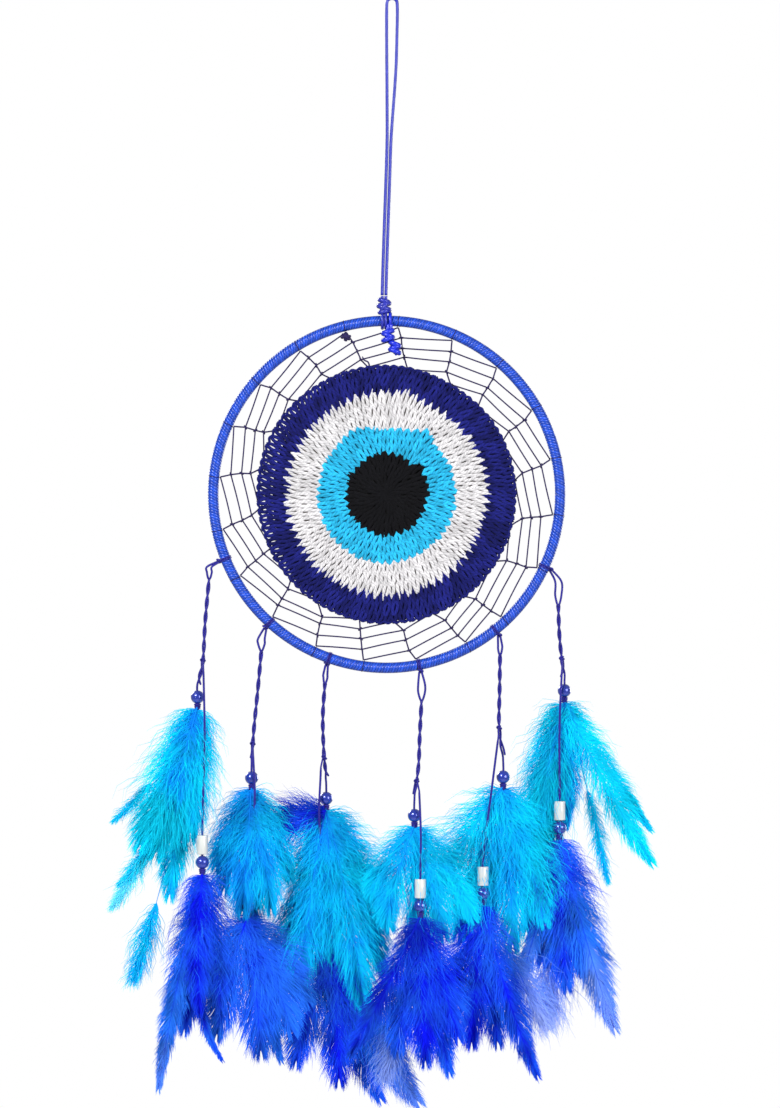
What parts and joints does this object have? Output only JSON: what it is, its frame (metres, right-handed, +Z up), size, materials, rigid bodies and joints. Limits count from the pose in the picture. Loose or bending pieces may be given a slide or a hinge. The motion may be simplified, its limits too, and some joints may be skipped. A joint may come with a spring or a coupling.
{
  "type": "evil eye dream catcher ornament",
  "caption": "Cord-wrapped ring with a crocheted evil eye laced inside it, hung by a knotted loop, with swinging drops of beads and dyed feathers.",
  "frame": {"origin": "where the top of the hanging loop rests on its nail", "axes": "+Z up, -Y towards the front of the eye, +X to the viewer's right"},
  "size_m": [0.239, 0.027, 0.4967],
  "materials": {
    "ring_wire": "plain drawn steel wire",
    "ring_satin_cord": "satin cord wound side by side, silky sheen",
    "hanging_satin_cord": "round satin cord, silky sheen",
    "drop_strand": "waxed twisted strand, violet navy",
    "lacing_thread": "thin dark twisted thread, matt",
    "black_yarn": "crocheted cotton yarn, matt",
    "turquoise_yarn": "crocheted cotton yarn, matt",
    "white_yarn": "crocheted cotton yarn, matt",
    "navy_yarn": "crocheted cotton yarn, matt",
    "blue_pearl": "pearl-coated plastic, glossy",
    "white_tube": "pearl-white plastic, glossy",
    "turquoise_feather": "dyed soft feather, barbed vanes and down",
    "royal_feather": "dyed soft feather, barbed vanes and down"
  },
  "bodies": {
    "hanger": {"hanging_cord": "hanging_satin_cord"},
    "knot": {"hanging_knot": "hanging_satin_cord"},
    "hoop": {"hoop_core": "ring_wire", "hoop_wrap": "ring_satin_cord", "hoop_hitches": "drop_strand", "knot_tails": "hanging_satin_cord", "web": "lacing_thread", "eye_pupil": "black_yarn", "eye_iris": "turquoise_yarn", "eye_white": "white_yarn", "eye_navy": "navy_yarn"},
    "loop_1": {"drop_loop_1": "drop_strand"},
    "drop_1": {"drop_cord_1": "drop_strand", "upper_bead_1": "blue_pearl", "upper_feathers_1": "turquoise_feather"},
    "tail_1": {"lower_thread_1": "drop_strand", "tube_bead_1": "white_tube", "lower_bead_1": "blue_pearl", "lower_feathers_1": "royal_feather"},
    "loop_2": {"drop_loop_2": "drop_strand"},
    "drop_2": {"drop_cord_2": "drop_strand", "upper_bead_2": "blue_pearl", "upper_feathers_2": "turquoise_feather"},
    "tail_2": {"lower_thread_2": "drop_strand", "tube_bead_2": "white_tube", "lower_bead_2": "blue_pearl", "lower_feathers_2": "royal_feather"},
    "loop_3": {"drop_loop_3": "drop_strand"},
    "drop_3": {"drop_cord_3": "drop_strand", "upper_bead_3": "blue_pearl", "upper_feathers_3": "turquoise_feather"},
    "tail_3": {"lower_thread_3": "drop_strand", "tube_bead_3": "white_tube", "lower_bead_3": "blue_pearl", "lower_feathers_3": "royal_feather"},
    "loop_4": {"drop_loop_4": "drop_strand"},
    "drop_4": {"drop_cord_4": "drop_strand", "upper_bead_4": "blue_pearl", "upper_feathers_4": "turquoise_feather"},
    "tail_4": {"lower_thread_4": "drop_strand", "tube_bead_4": "white_tube", "lower_bead_4": "blue_pearl", "lower_feathers_4": "royal_feather"},
    "loop_5": {"drop_loop_5": "drop_strand"},
    "drop_5": {"drop_cord_5": "drop_strand", "upper_bead_5": "blue_pearl", "upper_feathers_5": "turquoise_feather"},
    "tail_5": {"lower_thread_5": "drop_strand", "tube_bead_5": "white_tube", "lower_bead_5": "blue_pearl", "lower_feathers_5": "royal_feather"},
    "loop_6": {"drop_loop_6": "drop_strand"},
    "drop_6": {"drop_cord_6": "drop_strand", "upper_bead_6": "blue_pearl", "upper_feathers_6": "turquoise_feather"},
    "tail_6": {"lower_thread_6": "drop_strand", "tube_bead_6": "white_tube", "lower_bead_6": "blue_pearl", "lower_feathers_6": "royal_feather"}
  },
  "joints": [
    {"name": "cord_twist", "type": "hinge", "parent": "hanger", "child": "knot", "pos_m": [-0.00355, 0, -0.1322], "axis": [0, 0, 1], "range_deg": [-90, 90]},
    {"name": "hoop_tilt", "type": "hinge", "parent": "knot", "child": "hoop", "pos_m": [-0.0024, 0, -0.14345], "axis": [1, 0, 0], "range_deg": [-25, 25]},
    {"name": "drop_sway_1", "type": "hinge", "parent": "hoop", "child": "loop_1", "pos_m": [-0.07752, -0.00122, -0.25105], "axis": [1, 0, 0], "range_deg": [-25, 25]},
    {"name": "drop_swing_1", "type": "hinge", "parent": "loop_1", "child": "drop_1", "pos_m": [-0.0816, -0.0016, -0.2579], "axis": [0, 1, 0], "range_deg": [-15, 15]},
    {"name": "tail_swing_1", "type": "hinge", "parent": "drop_1", "child": "tail_1", "pos_m": [-0.0839, -0.0105, -0.299], "axis": [0, 1, 0], "range_deg": [-15, 15]},
    {"name": "drop_sway_2", "type": "hinge", "parent": "hoop", "child": "loop_2", "pos_m": [-0.05699, 0, -0.281], "axis": [-1, 0, 0], "range_deg": [-25, 25]},
    {"name": "drop_swing_2", "type": "hinge", "parent": "loop_2", "child": "drop_2", "pos_m": [-0.0584, 0, -0.2901], "axis": [0, 1, 0], "range_deg": [-15, 15]},
    {"name": "tail_swing_2", "type": "hinge", "parent": "drop_2", "child": "tail_2", "pos_m": [-0.062, -0.002, -0.337], "axis": [0, 1, 0], "range_deg": [-15, 15]},
    {"name": "drop_sway_3", "type": "hinge", "parent": "hoop", "child": "loop_3", "pos_m": [-0.02927, 0.00122, -0.29731], "axis": [1, 0, 0], "range_deg": [-25, 25]},
    {"name": "drop_swing_3", "type": "hinge", "parent": "loop_3", "child": "drop_3", "pos_m": [-0.0298, 0.0018, -0.3045], "axis": [0, 1, 0], "range_deg": [-15, 15]},
    {"name": "tail_swing_3", "type": "hinge", "parent": "drop_3", "child": "tail_3", "pos_m": [-0.0319, 0.0065, -0.343], "axis": [0, 1, 0], "range_deg": [-15, 15]},
    {"name": "drop_sway_4", "type": "hinge", "parent": "hoop", "child": "loop_4", "pos_m": [0.01276, -0.00122, -0.30047], "axis": [-1, 0, 0], "range_deg": [-25, 25]},
    {"name": "drop_swing_4", "type": "hinge", "parent": "loop_4", "child": "drop_4", "pos_m": [0.0132, -0.0016, -0.3123], "axis": [0, 1, 0], "range_deg": [-15, 15]},
    {"name": "tail_swing_4", "type": "hinge", "parent": "drop_4", "child": "tail_4", "pos_m": [0.0121, -0.0105, -0.353], "axis": [0, 1, 0], "range_deg": [-15, 15]},
    {"name": "drop_sway_5", "type": "hinge", "parent": "hoop", "child": "loop_5", "pos_m": [0.04821, 0, -0.2844], "axis": [1, 0, 0], "range_deg": [-25, 25]},
    {"name": "drop_swing_5", "type": "hinge", "parent": "loop_5", "child": "drop_5", "pos_m": [0.0483, 0, -0.2916], "axis": [0, 1, 0], "range_deg": [-15, 15]},
    {"name": "tail_swing_5", "type": "hinge", "parent": "drop_5", "child": "tail_5", "pos_m": [0.0474, -0.002, -0.33], "axis": [0, 1, 0], "range_deg": [-15, 15]},
    {"name": "drop_sway_6", "type": "hinge", "parent": "hoop", "child": "loop_6", "pos_m": [0.07116, 0.00122, -0.25468], "axis": [-1, 0, 0], "range_deg": [-25, 25]},
    {"name": "drop_swing_6", "type": "hinge", "parent": "loop_6", "child": "drop_6", "pos_m": [0.0744, 0.002, -0.2696], "axis": [0, 1, 0], "range_deg": [-15, 15]},
    {"name": "tail_swing_6", "type": "hinge", "parent": "drop_6", "child": "tail_6", "pos_m": [0.0762, 0.0065, -0.299], "axis": [0, 1, 0], "range_deg": [-15, 15]}
  ]
}
